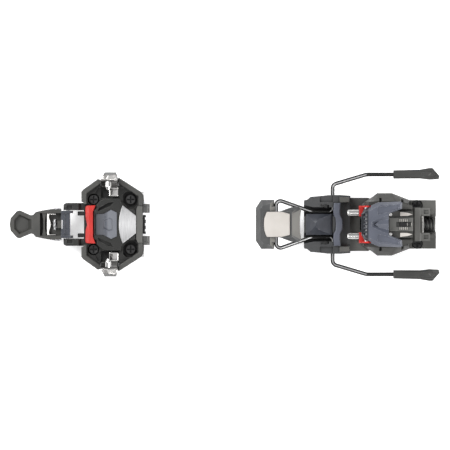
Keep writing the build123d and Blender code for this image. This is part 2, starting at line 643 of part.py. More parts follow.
def heel_carriage():
    body = carriage_foot() + carriage_tower()
    rail_room = [
        (0, 0), (RAIL_IN - 0.3, 0), (RAIL_NECK + 0.3, 0), (RAIL_NECK + 0.3, RAIL_NECK_Z - 0.3),
        (RAIL_OUT + 0.3, RAIL_NECK_Z - 0.3), (RAIL_OUT + 0.3, RAIL_TOP + 0.3), (0, RAIL_TOP + 0.3)]
    body -= pair(end_prism(rail_room, 240, 320))
    body -= rod_x(240, 320, 0, WORM_Z, WORM_R + 0.35)
    body -= block(240, 279.5, -9.6, 9.6, 0, 17.4)
    body -= block(300.5, 320, -9.6, 9.6, 0, 17.4)
    body -= rod_x(TOWER_X0 - 1, 293.4, 0, PIN_Z - 2.0, 6.2)
    body -= rod_x(293, TOWER_X1 + 1, 0, PIN_Z - 2.0, RELEASE_R + RUN)
    body -= pair(block(284.0, 301.0, 13.6, 15.0, 36.0, 60))
    walk_lug = block(297, 303.5, 9.0, 12.1, 15.8, 24.4) + rod_y(9.0, 12.1, WALK_X, WALK_Z, 3.4)
    walk_lug += block(300.1, 306.9, 9.0, 12.1, 15.8, WALK_Z)
    body += pair(walk_lug)
    body -= rod_y(-14, 14, WALK_X, WALK_Z, WALK_AXLE_R)
    for x in (268.5, 290.5):
        body -= pair(block(x - 1.2, x + 1.2, 22.0, 26.5, 20.0, 28.0))
    return body


def tower_cap():
    """The raised middle of the carriage with the release scale's window."""
    half = [(TOWER_X0 + 4.2, 0), (TOWER_X0 + 4.2, 6.6), (TOWER_X1, 6.6), (TOWER_X1, 0)]
    cap = top_chamfer(prism(both(half), 48.2, TOWER_Z), 0.5)
    cap -= block(284.6, 295.4, -6.0, 6.0, 49.6, 60)
    return cap - block(282.8, 297.4, -2.5, 2.5, 48, 60)


def release_indicator():
    return top_chamfer(block(286.3, 294.3, -2.2, 2.2, 48.5, 50.0), 0.4)


def cap_wedges():
    """Pale wear strips beside the release scale."""
    half = [(286.7, 8.2), (286.7, 12.4), (294.0, 11.6), (299.2, 9.8), (294.0, 8.4)]
    strip = prism(half, 47.4, 48.9)
    return two_solids(strip)


def cap_rivets():
    rivet = rod_z(47.4, 48.6, 277.5, 9.45, 1.6)
    return two_solids(top_chamfer(rivet, 0.4))


def release_spring():
    """The heel's release spring, along the tower."""
    turns = 9.0
    pitch = (292.6 - TOWER_X0 - 3.4) / turns
    return Pos(TOWER_X0 + 3.0, 0, PIN_Z - 2.0) * Rot(0, 90, 0) * coil(4.6, 0.95, pitch, turns - 0.5)


def spring_plunger():
    """The piston between the release spring and the pins' cam."""
    piston = rod_x(TOWER_X0 + 0.3, TOWER_X0 + 1.8, 0, PIN_Z - 2.0, 6.1)
    return piston + rod_x(TOWER_X0 + 1.8, TOWER_X0 + 7.0, 0, PIN_Z - 2.0, 3.0)


def release_screw():
    screw = rod_x(293.8, TOWER_X1, 0, PIN_Z - 2.0, RELEASE_R)
    slot = block(TOWER_X1 - 1.8, TOWER_X1 + 1, -4.0, 4.0, PIN_Z - 2.7, PIN_Z - 1.3)
    return screw - slot


def pin_block():
    """The red slide that carries both heel pins and the climbing aid."""
    body = block(BLOCK_X0, BLOCK_X1, -BLOCK_Y, BLOCK_Y, BLOCK_Z0, BLOCK_Z1)
    body = chamfer(body.edges().filter_by(Axis.X), 1.0)
    ear = side_prism(
        [(249.4, BLOCK_Z1 - 2), (249.6, AID_Z + 1), (251.2, 57.8), (254.8, 57.8),
         (256.4, AID_Z + 1), (256.6, BLOCK_Z1 - 2)], EAR_Y0, EAR_Y1)
    body += pair(ear)
    body -= block(BLOCK_X0 - 1, 250.0, -8.0, 8.0, BLOCK_Z0 - 1, BLOCK_Z1 + 1)
    slot_y0 = PIN_Y - PIN_SHANK_R - 0.15
    slot_y1 = PIN_Y + PIN_SHANK_R + PIN_SPREAD + 0.15
    slot_z = PIN_SHANK_R + 0.15
    body -= pair(block(BLOCK_X0 - 1, 257.0, slot_y0, slot_y1, PIN_Z - slot_z, PIN_Z + slot_z))
    return body - rod_y(-20, 20, AID_X, AID_Z, AID_AXLE_R)


def heel_pin():
    """The left heel pin with its broken front edge."""
    pin = rod_x(PIN_X0, PIN_X1, PIN_Y, PIN_Z, PIN_R)
    pin = chamfer(pin.faces().sort_by(Axis.X)[0].edges(), 0.9)
    return pin + rod_x(PIN_X1, 256.6, PIN_Y, PIN_Z, PIN_SHANK_R)


def climbing_aid():
    """The two armed lever that swings up and forward under the boot's heel."""
    low = [
        (248.2, 0), (248.2, 10.4), (251.2, 15.6), (256.8, 16.7), (258.0, 18.8), (265.4, 21.8),
        (286.8, 22.6), (288.4, 21.2), (288.0, 15.4), (283.0, 13.3), (274.8, 10.4), (274.8, 0)]
    high = [
        (248.9, 0), (248.9, 10.0), (252.6, 13.4), (257.4, 14.0), (259.6, 15.6), (266.6, 19.0),
        (284.6, 20.3), (286.2, 19.6), (285.8, 16.4), (282.6, 14.6), (274.8, 11.0), (274.8, 0)]
    body = prism(both(low), AID_Z0, 57.4) + frustum(both(low), both(high), 57.4, AID_Z1)
    body -= block(248.0, 250.4, -10.2, 10.2, 55.8, 70)
    for tooth in range(6):
        y = (tooth - 2.5) * AID_TOOTH_PITCH
        body -= block(250.0, 253.4, y - 1.1, y + 1.1, 56.2, 70)
    arm_flat = [(264.0, 9.6), (264.0, 17.2), (284.4, 19.6), (284.4, 15.6), (274.0, 11.8)]
    body -= pair(prism(arm_flat, AID_Z1 - 0.7, 70))
    hollow_top = [(257.8, 2.6), (275.6, 10.6), (275.6, -10.6), (257.8, -2.6)]
    hollow_low = [(261.4, 0.3), (275.6, 4.0), (275.6, -4.0), (261.4, -0.3)]
    body -= frustum(hollow_low, hollow_top, 57.6, AID_Z1 + 0.2)
    web = end_prism([(-10.0, 57.2), (0, 60.0), (10.0, 57.2)], 255, 274.8)
    body += web & prism([(261.2, 0), (274.8, 9.6), (274.8, -9.6)], 57.0, 62)
    return body - rod_y(-20, 20, AID_X, AID_Z, AID_AXLE_R + RUN)


def climbing_aid_axle():
    return rod_y(-EAR_Y1, EAR_Y1, AID_X, AID_Z, AID_AXLE_R)


def walk_lever():
    """The rear lever: pushed down, it draws the pins back for walking."""
    side = [
        (300.2, 25.0), (300.2, 28.6), (302.5, 30.6), (307.5, 30.0), (309.0, 28.0), (309.0, 25.0)]
    lever = side_prism(side, -16.6, 16.6)
    cheek = side_prism(
        [(300.4, 19.0), (301.8, 17.4), (304.8, 17.4), (307.4, 19.6), (308.6, 25.4),
         (300.4, 25.4)], 12.6, 16.6)
    tab = side_prism([(308.0, 22.6), (317.6, 23.4), (318.0, 25.0), (308.0, 28.0)], 8.6, 16.4)
    tab -= side_prism([(311.5, 24.6), (316.4, 24.6), (316.4, 30), (311.5, 30)], 10.4, 14.6)
    lever += pair(cheek) + pair(tab)
    return lever - rod_y(-18, 18, WALK_X, WALK_Z, WALK_AXLE_R + RUN)


def walk_lever_strip():
    """The bright edge strip on the back of the walk lever."""
    side = [(309.0, 24.0), (310.2, 24.0), (311.6, 27.6), (310.6, 29.6), (309.0, 29.0)]
    return side_prism(side, -8.4, 8.4)


def walk_lever_axle():
    return rod_y(-16.4, 16.4, WALK_X, WALK_Z, WALK_AXLE_R)


# ---------------------------------------------------------------- all nodes
def left_and_right(name, shape):
    return {f"{name}_left": shape, f"{name}_right": other_side(shape)}


def nodes():
    parts = {
        "toe_base": toe_base(), "toe_cover": toe_cover(), "toe_screws": toe_screws(),
        "badge_plate": badge_plate(), "rear_bridge": rear_bridge(),
        "crampon_lugs": crampon_lugs(), "crampon_stop": crampon_stop(),
        "jaw_axles": jaw_axles(), "toe_trigger": toe_trigger(), "red_slider": red_slider(),
        "toe_slider": toe_slider(), "lever_axle": lever_axle(), "lever_fork": lever_fork(),
        "lever_body": lever_body(), "lever_side_plates": lever_side_plates(),
        "lever_bracket": lever_bracket(), "lever_spring": lever_spring(),
        "lever_spring_pin": lever_spring_pin(), "heel_base": heel_base(),
        "heel_screws": heel_screws(), "worm_screw": worm_screw(),
        "brake_housing": brake_housing(), "housing_wedge": housing_wedge(),
        "pivot_cover": pivot_cover(), "brake_pedal": brake_pedal(), "pedal_pad": pedal_pad(),
        "heel_carriage": heel_carriage(), "tower_cap": tower_cap(),
        "release_indicator": release_indicator(), "cap_wedges": cap_wedges(),
        "cap_rivets": cap_rivets(), "release_spring": release_spring(),
        "spring_plunger": spring_plunger(), "release_screw": release_screw(),
        "pin_block": pin_block(), "climbing_aid": climbing_aid(),
        "climbing_aid_axle": climbing_aid_axle(), "walk_lever": walk_lever(),
        "walk_lever_strip": walk_lever_strip(), "walk_lever_axle": walk_lever_axle()}
    parts |= left_and_right("toe_jaw", toe_jaw())
    parts |= left_and_right("toe_pin", toe_pin())
    parts |= left_and_right("toe_spring", toe_spring())
    parts |= left_and_right("brake_spring", brake_spring())
    parts |= left_and_right("brake_wire", brake_wire())
    parts |= left_and_right("brake_grip", brake_grip())
    parts |= left_and_right("heel_pin", heel_pin())
    return parts


def main():
    os.makedirs("parts", exist_ok=True)
    for name, shape in nodes().items():
        export_step(shape, f"parts/{name}.step")


main()
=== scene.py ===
import json
import math

import bmesh
import bpy
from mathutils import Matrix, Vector


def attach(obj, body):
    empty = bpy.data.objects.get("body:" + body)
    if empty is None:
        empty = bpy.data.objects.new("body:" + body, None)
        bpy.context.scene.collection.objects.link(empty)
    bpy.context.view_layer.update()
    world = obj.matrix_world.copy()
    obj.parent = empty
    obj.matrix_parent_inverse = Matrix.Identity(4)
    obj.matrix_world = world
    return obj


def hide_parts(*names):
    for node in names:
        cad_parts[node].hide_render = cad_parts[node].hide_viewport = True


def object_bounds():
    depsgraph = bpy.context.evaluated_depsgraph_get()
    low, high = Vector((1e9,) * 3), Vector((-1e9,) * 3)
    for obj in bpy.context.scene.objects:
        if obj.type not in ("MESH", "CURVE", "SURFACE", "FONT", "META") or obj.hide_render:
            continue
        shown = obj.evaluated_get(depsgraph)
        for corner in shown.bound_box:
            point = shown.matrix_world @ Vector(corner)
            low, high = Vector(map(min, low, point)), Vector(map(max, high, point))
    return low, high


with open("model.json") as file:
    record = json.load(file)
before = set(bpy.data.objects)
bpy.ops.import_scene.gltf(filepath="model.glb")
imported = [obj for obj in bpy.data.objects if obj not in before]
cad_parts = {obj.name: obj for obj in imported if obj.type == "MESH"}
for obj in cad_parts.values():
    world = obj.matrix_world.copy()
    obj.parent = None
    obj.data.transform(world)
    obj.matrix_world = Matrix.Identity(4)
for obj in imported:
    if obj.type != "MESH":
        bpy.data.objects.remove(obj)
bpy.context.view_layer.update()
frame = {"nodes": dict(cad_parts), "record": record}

# Lengths, places and heights are in millimetres of the shared frame, except for the lights, floor
# and camera, which are in metres. What is called left has a positive Y.
MM = 0.001
NODES = frame["nodes"]
SLOT_OF = {row["node"]: row["material_slot"] for row in frame["record"]["subparts"]}
SIDES = (1, -1)


def box(obj):
    """Lowest and highest corner of a CAD node."""
    corners = [obj.matrix_world @ Vector(corner) for corner in obj.bound_box]
    return [[round(pick(corner[axis] for corner in corners) / MM, 2) for axis in range(3)]
            for pick in (min, max)]


BOX = {name: box(obj) for name, obj in NODES.items()}


def top(name):
    """Height of a CAD node's highest point."""
    return BOX[name][1][2]


# Places where a material changes its look.
DECK_TOP = BOX["badge_plate"][0][2]
SCREW_TOP = top("toe_screws")
AID_RECESS_X = BOX["climbing_aid_axle"][1][0]
# The wires are black behind this place along X.
BLACK_RUN_X = 254.9
# Painted shade on the wires inside the brake housing, between its front and rear ramps.
HOUSING_SHADE_FRONT_X = (198.5, 201.0)
HOUSING_SHADE_REAR_X = (219.5, 218.0)
# The trigger's painted shade, fading out towards the rear, and the place of its painted light
# behind the crease.
TRIGGER_PAINTED_SHADE_X = (-17.0, -4.0)
TRIGGER_PAINTED_LIGHT_X = (-5.5, -3.5)

# The length screw: its box is the CAD node's, and the rest is its thread, neck and driver slot.
WORM_FRONT = BOX["worm_screw"][0][0]
WORM_REAR, WORM_CREST = BOX["worm_screw"][1][:2]
WORM_Z = (BOX["worm_screw"][0][2] + top("worm_screw")) / 2
COLLAR_REAR, COLLAR_RADIUS, NECK_RADIUS = 253.7, 4.6, 3.0
THREAD_FRONT, THREAD_ROOT, THREAD_PITCH = 259.0, 5.15, 3.35
THREAD_STEP, THREAD_POINTS = 0.2, 48
DRIVER_SLOT = {"half_width": 0.7, "half_length": 4.0, "depth": 2.5}

# Lighting and camera: sizes and places in metres, lens and sensor in millimetres.
WORLD_STRENGTH = 1.0
FLOOR_GLOW = 0.45
FLOOR_SIZE, FLOOR_GAP = 6.0, 0.0002
MIDDLE = (0.11, 0.0, 0.02)
CAMERA_PLACE = (0.1133, -0.0006, 3.02)
CAMERA_LENS, CAMERA_SENSOR = 240.0, 36.0


# ---------------------------------------------------------------- shader helpers
def grey(level):
    return (level, level, level)


def scaled(colour, factor):
    """A colour made darker or lighter."""
    return tuple(min(1.0, factor * part) for part in colour)


class Shader:
    """A Principled material and short ways to wire textures into it.

    Texture scales count features in a metre. Distances are in millimetres.
    """

    def __init__(self, name, rough, metallic=0.0, specular=0.5):
        self.material = bpy.data.materials.new(name)
        self.material.use_nodes = True
        self.tree = self.material.node_tree
        self.bsdf = self.tree.nodes["Principled BSDF"]
        self.bsdf.inputs["Roughness"].default_value = rough
        self.bsdf.inputs["Metallic"].default_value = metallic
        self.bsdf.inputs["Specular IOR Level"].default_value = specular
        self.place = self.node("ShaderNodeTexCoord").outputs["Object"]

    def node(self, kind, **settings):
        made = self.tree.nodes.new(kind)
        for key, value in settings.items():
            setattr(made, key, value)
        return made

    def link(self, source, target):
        self.tree.links.new(source, target)

    def stretched(self, scale):
        """Texture coordinates scaled by a different amount along each axis."""
        mapping = self.node("ShaderNodeMapping")
        mapping.inputs["Scale"].default_value = scale
        self.link(self.place, mapping.inputs["Vector"])
        return mapping.outputs["Vector"]

    def noise(self, scale, detail=3.0, rough=0.5, place=None):
        made = self.node("ShaderNodeTexNoise")
        made.inputs["Scale"].default_value = scale
        made.inputs["Detail"].default_value = detail
        made.inputs["Roughness"].default_value = rough
        self.link(place or self.place, made.inputs["Vector"])
        return made.outputs["Fac"]

    def cells(self, scale):
        made = self.node("ShaderNodeTexVoronoi")
        made.inputs["Scale"].default_value = scale
        self.link(self.place, made.inputs["Vector"])
        return made.outputs["Distance"]

    def spread(self, source, low, high, to_low=0.0, to_high=1.0):
        """Map a range of a value to another range."""
        made = self.node("ShaderNodeMapRange")
        ends = {"From Min": low, "From Max": high, "To Min": to_low, "To Max": to_high}
        for key, value in ends.items():
            made.inputs[key].default_value = value
        self.link(source, made.inputs["Value"])
        return made.outputs["Result"]

    def uneven(self, scale, detail, low, high):
        """Cloudy variation between two values."""
        return self.spread(self.noise(scale, detail), 0.3, 0.7, low, high)

    def times(self, one, two):
        """Product of a socket and a socket or a number."""
        made = self.node("ShaderNodeMath", operation="MULTIPLY")
        self.link(one, made.inputs[0])
        if isinstance(two, float):
            made.inputs[1].default_value = two
        else:
            self.link(two, made.inputs[1])
        return made.outputs["Value"]

    def absolute(self, value):
        """A value without its sign."""
        made = self.node("ShaderNodeMath", operation="ABSOLUTE")
        self.link(value, made.inputs[0])
        return made.outputs["Value"]

    def mix(self, factor, one, two):
        """Mix two colours, each a colour or a socket."""
        made = self.node("ShaderNodeMix", data_type="RGBA")
        self.link(factor, made.inputs["Factor"])
        for socket, value in ((made.inputs[6], one), (made.inputs[7], two)):
            if isinstance(value, tuple):
                socket.default_value = (*value, 1.0)
            else:
                self.link(value, socket)
        return made.outputs[2]

    def edges(self, radius):
        """1 on worn edges, 0 on open faces."""
        bevel = self.node("ShaderNodeBevel", samples=4)
        bevel.inputs["Radius"].default_value = radius * MM
        true = self.node("ShaderNodeNewGeometry").outputs["Normal"]
        dot = self.node("ShaderNodeVectorMath", operation="DOT_PRODUCT")
        self.link(bevel.outputs["Normal"], dot.inputs[0])
        self.link(true, dot.inputs[1])
        return self.spread(dot.outputs["Value"], 0.995, 0.90)

    def cavity(self, distance):
        """1 deep in a recess or a seam, 0 in the open: the mask for painted shade."""
        made = self.node("ShaderNodeAmbientOcclusion", samples=6)
        made.inputs["Distance"].default_value = distance * MM
        return self.spread(made.outputs["AO"], 0.72, 0.25)

    def part(self, vector, axis):
        """The X, Y or Z of a vector."""
        parts = self.node("ShaderNodeSeparateXYZ")
        self.link(vector, parts.inputs["Vector"])
        return parts.outputs[axis]

    def facing(self, axis, low, high):
        """Ramp from 0 to 1 as the surface normal's part along an axis goes from low to high."""
        normal = self.node("ShaderNodeNewGeometry").outputs["Normal"]
        return self.spread(self.part(normal, axis), low, high)

    def along(self, axis, low, high):
        """Ramp from 0 to 1 between two places along an axis."""
        return self.spread(self.part(self.place, axis), low * MM, high * MM)

    def bump(self, height, distance, strength=1.0, below=None):
        made = self.node("ShaderNodeBump")
        made.inputs["Distance"].default_value = distance * MM
        made.inputs["Strength"].default_value = strength
        self.link(height, made.inputs["Height"])
        if below:
            self.link(below, made.inputs["Normal"])
        return made.outputs["Normal"]

    def finish(self, colour=None, rough=None, normal=None):
        for socket, name in ((colour, "Base Color"), (rough, "Roughness"), (normal, "Normal")):
            if socket:
                self.link(socket, self.bsdf.inputs[name])
        return self.material


# ---------------------------------------------------------------- materials
def moulded(name, dark, light, worn, rough=0.5, grain=0.02, wear=0.5, dirt=0.75, zone=None):
    """Moulded plastic: fine spark grain, cloudy tone, scuffed edges, painted shade in recesses and
    seams.

    zone is (kind, axis, low, high, colour): the colour where that ramp reaches 1.
    """
    s = Shader(name, rough, specular=0.35)
    cloud = s.spread(s.noise(55, 4), 0.35, 0.65)
    speck = s.spread(s.noise(1400, 2), 0.62, 0.75)
    colour = s.mix(cloud, dark, light)
    if zone:
        kind, axis, low, high, other = zone
        ramp = s.along(axis, low, high) if kind == "along" else s.facing(axis, low, high)
        colour = s.mix(ramp, colour, other)
    scuff = s.times(s.edges(0.6), s.spread(s.noise(260, 4), 0.35, 0.62))
    colour = s.mix(s.times(scuff, wear), colour, worn)
    colour = s.mix(s.times(speck, 0.12), colour, worn)
    # Painted shade: darker in recesses and seams, from the ambient occlusion mask.
    colour = s.mix(s.times(s.cavity(4.0), dirt), colour, scaled(dark, 0.2))
    roughness = s.uneven(180, 5, rough - 0.07, rough + 0.07)
    fine = s.bump(s.cells(2600), grain, 0.7)
    return s.finish(colour, roughness, s.bump(s.noise(420, 3), 0.012, 0.6, fine))


def polished(name, colour, rough, turn=(0.30, 0.78)):
    """Plated steel with faint smears, polish lines and painted shade in its recesses.

    It has a painted reflection: dark and less metallic where the normal's upward part is below
    turn, bright where it's above.
    """
    s = Shader(name, rough, metallic=1.0)
    smear = s.spread(s.noise(120, 5), 0.35, 0.7)
    shade = s.mix(s.times(smear, 0.5), colour, scaled(colour, 0.82))
    # Painted reflection: dark and less metallic on faces turned away from straight up.
    upward = s.facing("Z", *turn)
    shade = s.mix(upward, (0.045, 0.044, 0.042), shade)
    s.link(s.spread(upward, 0, 1, 0.25, 1), s.bsdf.inputs["Metallic"])
    # Painted shade in recesses.
    shade = s.mix(s.cavity(3.0), shade, grey(0.05))
    roughness = s.uneven(300, 5, rough - 0.04, rough + 0.10)
    lines = s.noise(1, 2, 0.5, s.stretched((6000, 300, 6000)))
    return s.finish(shade, roughness, s.bump(lines, 0.004, 0.5))


def brushed(name, colour, rough, scale, depth=0.02, sheen=None):
    """Brushed metal with a painted dark reflection on its sides. scale is the texture's along each
    axis, smallest along the brushing.

    sheen is (start, end, colour): a painted sheen, the colour that the metal is painted away from
    its middle line.
    """
    s = Shader(name, rough, metallic=1.0)
    lines = s.noise(1, 4, 0.65, s.stretched(scale))
    shade = s.mix(s.spread(lines, 0.3, 0.7), scaled(colour, 0.72), colour)
    shade = s.mix(s.times(s.edges(0.4), 0.6), shade, scaled(colour, 1.25))
    # Painted dark reflection on faces turned to the side.
    shade = s.mix(s.facing("Z", 0.1, 0.6), scaled(colour, 0.28), shade)
    if sheen:
        # Painted sheen: the metal takes the sheen's colour away from its middle line.
        start, end, far = sheen
        aside = s.absolute(s.part(s.place, "Y"))
        shade = s.mix(s.spread(aside, start * MM, end * MM), shade, far)
    roughness = s.spread(lines, 0.3, 0.7, rough - 0.08, rough + 0.12)
    return s.finish(shade, roughness, s.bump(lines, depth, 0.6))


def hatched(name, angle, bands):
    """Blue-grey plastic with a fine moulded chequer, painted shade towards its front, painted light
    behind its crease and painted shade in its recesses.
    """
    s = Shader(name, 0.36)
    waves = []
    for turn in (angle, -angle):
        mapping = s.node("ShaderNodeMapping")
        mapping.inputs["Rotation"].default_value = (0, 0, turn)
        s.link(s.place, mapping.inputs["Vector"])
        band = s.node("ShaderNodeTexWave")
        band.inputs["Scale"].default_value = bands
        band.inputs["Distortion"].default_value = 0.4
        s.link(mapping.outputs["Vector"], band.inputs["Vector"])
        waves.append(band.outputs["Fac"])
    check = s.times(*waves)
    colour = s.mix(check, (0.046, 0.050, 0.062), (0.115, 0.122, 0.142))
    # Painted shade towards the front.
    colour = s.mix(s.along("X", *TRIGGER_PAINTED_SHADE_X), (0.024, 0.026, 0.033), colour)
    # Painted light behind the crease.
    colour = s.mix(s.times(s.along("X", *TRIGGER_PAINTED_LIGHT_X), 0.45), colour, (0.20, 0.21, 0.235))
    colour = s.mix(s.times(s.edges(0.5), 0.5), colour, (0.24, 0.25, 0.28))
    # Painted shade in recesses.
    colour = s.mix(s.times(s.cavity(5.0), 0.8), colour, (0.012, 0.013, 0.017))
    return s.finish(colour, s.uneven(180, 5, 0.30, 0.45), s.bump(check, 0.12, 0.8))


def threaded(name):
    """Blacked screw steel with a painted highlight along the root of its thread."""
    s = Shader(name, 0.4, metallic=0.3)
    from_axis = s.node("ShaderNodeVectorMath", operation="SUBTRACT")
    from_axis.inputs[1].default_value = (0, 0, WORM_Z * MM)
    s.link(s.place, from_axis.inputs[0])
    across = s.node("ShaderNodeVectorMath", operation="MULTIPLY")
    across.inputs[1].default_value = (0, 1, 1)
    s.link(from_axis.outputs["Vector"], across.inputs[0])
    radius = s.node("ShaderNodeVectorMath", operation="LENGTH")
    s.link(across.outputs["Vector"], radius.inputs[0])
    crest = s.spread(radius.outputs["Value"], (THREAD_ROOT + 0.15) * MM, (THREAD_ROOT + 0.85) * MM)
    mottle = s.mix(s.noise(900, 4), grey(0.005), grey(0.012))
    # Painted highlight: lighter at the root of the thread, dark towards the crests.
    colour = s.mix(crest, (0.16, 0.16, 0.15), mottle)
    return s.finish(colour, s.uneven(900, 4, 0.32, 0.5), s.bump(s.noise(2400, 3), 0.01, 0.7))


def coated(name, dark, light, rough=0.42):
    """Blacked steel with bright rubbed edges."""
    s = Shader(name, rough, metallic=0.6)
    shade = s.mix(s.spread(s.noise(700, 5), 0.35, 0.65), dark, light)
    scuff = s.times(s.edges(0.3), s.spread(s.noise(500, 3), 0.4, 0.6))
    shade = s.mix(s.times(scuff, 0.45), shade, grey(0.30))
    roughness = s.uneven(900, 4, rough - 0.08, rough + 0.12)
    return s.finish(shade, roughness, s.bump(s.noise(2400, 3), 0.01, 0.7))


def sprung_wire(name):
    """Chrome wire with a painted dark reflection on its flanks, painted shade where it runs into
    the housing, and black on its rear run.
    """
    s = Shader(name, 0.12, metallic=1.0, specular=0.2)
    black_run = s.along("X", BLACK_RUN_X - 0.3, BLACK_RUN_X + 0.3)
    # Painted reflection: near black and less metallic on the flanks, away from the top line.
    upward = s.facing("Z", 0.955, 0.99)
    smear = s.spread(s.noise(200, 5), 0.35, 0.7)
    bright = s.mix(upward, (0.012, 0.012, 0.011), s.mix(smear, grey(0.80), grey(0.62)))
    metal_share = s.times(s.spread(black_run, 0, 1, 1, 0), upward)
    s.link(metal_share, s.bsdf.inputs["Metallic"])
    # Painted shade where the wire runs into the housing.
    housing_shade = s.times(s.along("X", *HOUSING_SHADE_FRONT_X), s.along("X", *HOUSING_SHADE_REAR_X))
    colour = s.mix(black_run, bright, grey(0.018))
    colour = s.mix(housing_shade, colour, grey(0.010))
    roughness = s.spread(black_run, 0, 1, 0.12, 0.38)
    drawn = s.noise(1, 3, 0.5, s.stretched((60, 2500, 2500)))
    return s.finish(colour, roughness, s.bump(drawn, 0.004, 0.5))


BLUE = {"dark": (0.064, 0.070, 0.090), "light": (0.082, 0.089, 0.112), "worn": (0.30, 0.31, 0.35),
        "rough": 0.40, "wear": 0.8}

# Each material's maker and settings, by name. The first eleven are the frame's material slots.
RECIPES = {
    "dark_plastic": (moulded, {
        "dark": (0.040, 0.040, 0.037), "light": (0.054, 0.053, 0.049),
        "worn": (0.13, 0.13, 0.12)}),
    "grey_plastic": (moulded, {
        "dark": (0.062, 0.062, 0.057), "light": (0.078, 0.077, 0.071),
        "worn": (0.16, 0.16, 0.15)}),
    "black_plastic": (moulded, {
        "dark": grey(0.007), "light": grey(0.012), "worn": grey(0.05), "rough": 0.42}),
    "blue_plastic": (moulded, BLUE),
    "red_plastic": (moulded, {
        "dark": (0.40, 0.016, 0.012), "light": (0.50, 0.024, 0.018), "worn": (0.70, 0.12, 0.09),
        "rough": 0.36, "grain": 0.012, "wear": 0.35, "dirt": 0.6}),
    "pale_pad": (moulded, {
        "dark": (0.42, 0.395, 0.365), "light": (0.47, 0.445, 0.415), "worn": (0.55, 0.53, 0.50),
        "rough": 0.55, "grain": 0.03, "wear": 0.3}),
    "chrome": (polished, {"colour": (0.86, 0.85, 0.83), "rough": 0.10}),
    "steel": (brushed, {
        "colour": (0.66, 0.66, 0.67), "rough": 0.30, "scale": (40, 2600, 2600)}),
    "spring_steel": (brushed, {
        "colour": (0.50, 0.50, 0.51), "rough": 0.28, "scale": (900, 900, 900)}),
    "black_steel": (coated, {"dark": grey(0.012), "light": grey(0.034)}),
    "alloy": (moulded, {
        "dark": (0.034, 0.037, 0.044), "light": (0.050, 0.054, 0.064), "worn": (0.34, 0.35, 0.38),
        "rough": 0.32}),
    "navy_plastic": (moulded, {
        "dark": (0.024, 0.026, 0.033), "light": (0.036, 0.039, 0.048), "worn": (0.18, 0.19, 0.21),
        "rough": 0.38}),
    "cover_plastic": (moulded, {
        "dark": (0.046, 0.046, 0.043), "light": (0.058, 0.058, 0.054), "worn": (0.20, 0.20, 0.19),
        "zone": ("along", "Z", DECK_TOP + 0.9, DECK_TOP + 0.3, (0.013, 0.013, 0.012))}),
    # A darker copy of the plastic for the low toe base: painted shade.
    "deep_plastic": (moulded, {
        "dark": (0.012, 0.012, 0.011), "light": (0.018, 0.018, 0.017),
        "worn": (0.22, 0.22, 0.21)}),
    "bridge_plastic": (moulded, {
        "dark": (0.082, 0.082, 0.076), "light": (0.100, 0.099, 0.092),
        "worn": (0.20, 0.20, 0.19)}),
    # Painted light on faces turned to the rear (+X).
    "pedal_plastic": (moulded, {
        "dark": (0.046, 0.047, 0.047), "light": (0.060, 0.061, 0.061), "worn": (0.19, 0.20, 0.21),
        "zone": ("facing", "X", 0.26, 0.42, (0.19, 0.185, 0.170))}),
    "housing_plastic": (moulded, {
        "dark": (0.028, 0.029, 0.030), "light": (0.038, 0.039, 0.040), "worn": grey(0.15)}),
    "grip_plastic": (moulded, {
        "dark": (0.028, 0.028, 0.026), "light": (0.038, 0.038, 0.036),
        "worn": (0.16, 0.16, 0.15)}),
    "pointer_black": (moulded, {
        "dark": grey(0.003), "light": grey(0.005), "worn": grey(0.03)}),
    # Painted shade: black below the head's top face, in the cross recess and on the sides.
    "screw_black": (moulded, {
        "dark": grey(0.004), "light": grey(0.006), "worn": grey(0.07), "rough": 0.34,
        "grain": 0.01, "wear": 0.0, "dirt": 0.6,
        "zone": ("along", "Z", SCREW_TOP - 0.7, SCREW_TOP - 0.2, grey(0.046))}),
    # Painted shade in the recess forward of the axle's rear end.
    "aid_plastic": (moulded, {
        **BLUE,
        "zone": ("along", "X", AID_RECESS_X + 0.4, AID_RECESS_X - 0.4, (0.016, 0.018, 0.023))}),
    "trigger_plastic": (hatched, {"angle": math.radians(32), "bands": 300.0}),
    "jaw_chrome": (polished, {
        "colour": (0.92, 0.90, 0.87), "rough": 0.12, "turn": (0.72, 0.93)}),
    "dull_chrome": (polished, {"colour": (0.42, 0.41, 0.39), "rough": 0.32}),
    "dark_chrome": (polished, {"colour": (0.16, 0.16, 0.155), "rough": 0.30}),
    "plate_steel": (brushed, {
        "colour": grey(0.92), "rough": 0.34, "scale": (5000, 140, 5000), "depth": 0.008,
        "sheen": (2.0, 20.0, grey(0.46))}),
    "worm_steel": (threaded, {}),
    "wire": (sprung_wire, {}),
}
MATERIALS = {name: maker(name, **settings) for name, (maker, settings) in RECIPES.items()}

# CAD nodes with a look of their own. The others take their material slot's.
SPECIAL = {
    "badge_plate": "plate_steel",
    "brake_grip_left": "grip_plastic",
    "brake_grip_right": "grip_plastic",
    "brake_housing": "housing_plastic",
    "brake_pedal": "pedal_plastic",
    "brake_wire_left": "wire",
    "brake_wire_right": "wire",
    "climbing_aid": "aid_plastic",
    "crampon_lugs": "dark_chrome",
    "heel_screws": "screw_black",
    "housing_wedge": "navy_plastic",
    "lever_bracket": "jaw_chrome",
    "rear_bridge": "bridge_plastic",
    "release_indicator": "pointer_black",
    "toe_base": "deep_plastic",
    "toe_cover": "cover_plastic",
    "toe_jaw_left": "jaw_chrome",
    "toe_jaw_right": "jaw_chrome",
    "toe_screws": "screw_black",
    "toe_trigger": "trigger_plastic",
    "tower_cap": "bridge_plastic",
    "walk_lever": "bridge_plastic",
    "walk_lever_strip": "dull_chrome",
}

